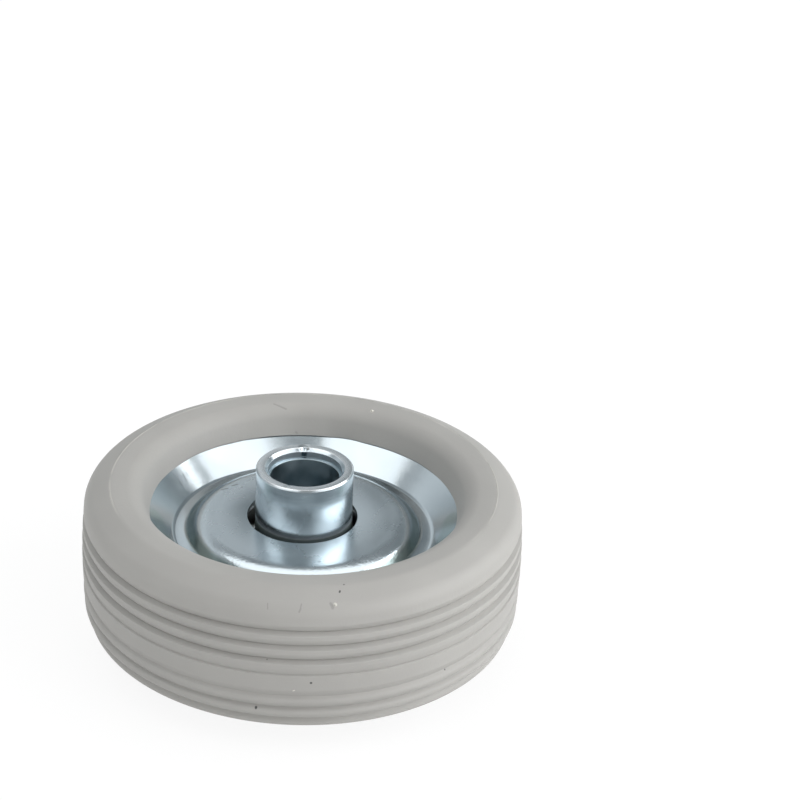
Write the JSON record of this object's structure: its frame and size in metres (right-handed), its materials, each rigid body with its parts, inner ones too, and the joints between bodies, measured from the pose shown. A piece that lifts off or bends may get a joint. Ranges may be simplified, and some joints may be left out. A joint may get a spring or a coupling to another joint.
{
  "type": "conveyor skate wheel",
  "caption": "Small conveyor wheel with a ribbed grey rubber tyre on pressed steel shells, running on loose balls around a turned hub with a through bore.",
  "frame": {"origin": "middle of the hub, on the axle's axis", "axes": "+Z along the axle, towards the face whose tread has the sharp grooves; the wheel is round, so X and Y are free"},
  "size_m": [0.06, 0.06, 0.0252],
  "materials": {
    "grey_rubber": "satin moulded grey rubber",
    "zinc_sheet": "pressed sheet, bright zinc plate with a faint blue tint",
    "zinc_turned": "turned steel, bright zinc plate",
    "sleeve_steel": "drawn tube, dull zinc plate",
    "race_steel": "ground steel",
    "ball_steel": "polished steel"
  },
  "bodies": {
    "hub": {"upper_bush": "zinc_turned", "lower_bush": "zinc_turned", "axle_sleeve": "sleeve_steel"},
    "wheel": {"tyre": "grey_rubber", "upper_shell": "zinc_sheet", "lower_shell": "zinc_sheet", "outer_race": "race_steel"},
    "ball_set": {"ball_01": "ball_steel", "ball_02": "ball_steel", "ball_03": "ball_steel", "ball_04": "ball_steel", "ball_05": "ball_steel", "ball_06": "ball_steel", "ball_07": "ball_steel", "ball_08": "ball_steel", "ball_09": "ball_steel", "ball_10": "ball_steel", "ball_11": "ball_steel", "ball_12": "ball_steel", "ball_13": "ball_steel", "ball_14": "ball_steel", "ball_15": "ball_steel", "ball_16": "ball_steel"}
  },
  "joints": [
    {"name": "wheel_spin", "type": "hinge", "parent": "hub", "child": "wheel", "pos_m": [0, 0, 0], "axis": [0, 0, 1], "continuous": true},
    {"name": "ball_orbit", "type": "hinge", "parent": "hub", "child": "ball_set", "pos_m": [0, 0, 0], "axis": [0, 0, 1], "continuous": true}
  ],
  "couplings": [
    {"joint": "ball_orbit", "follows": "wheel_spin", "ratio": 0.596}
  ]
}
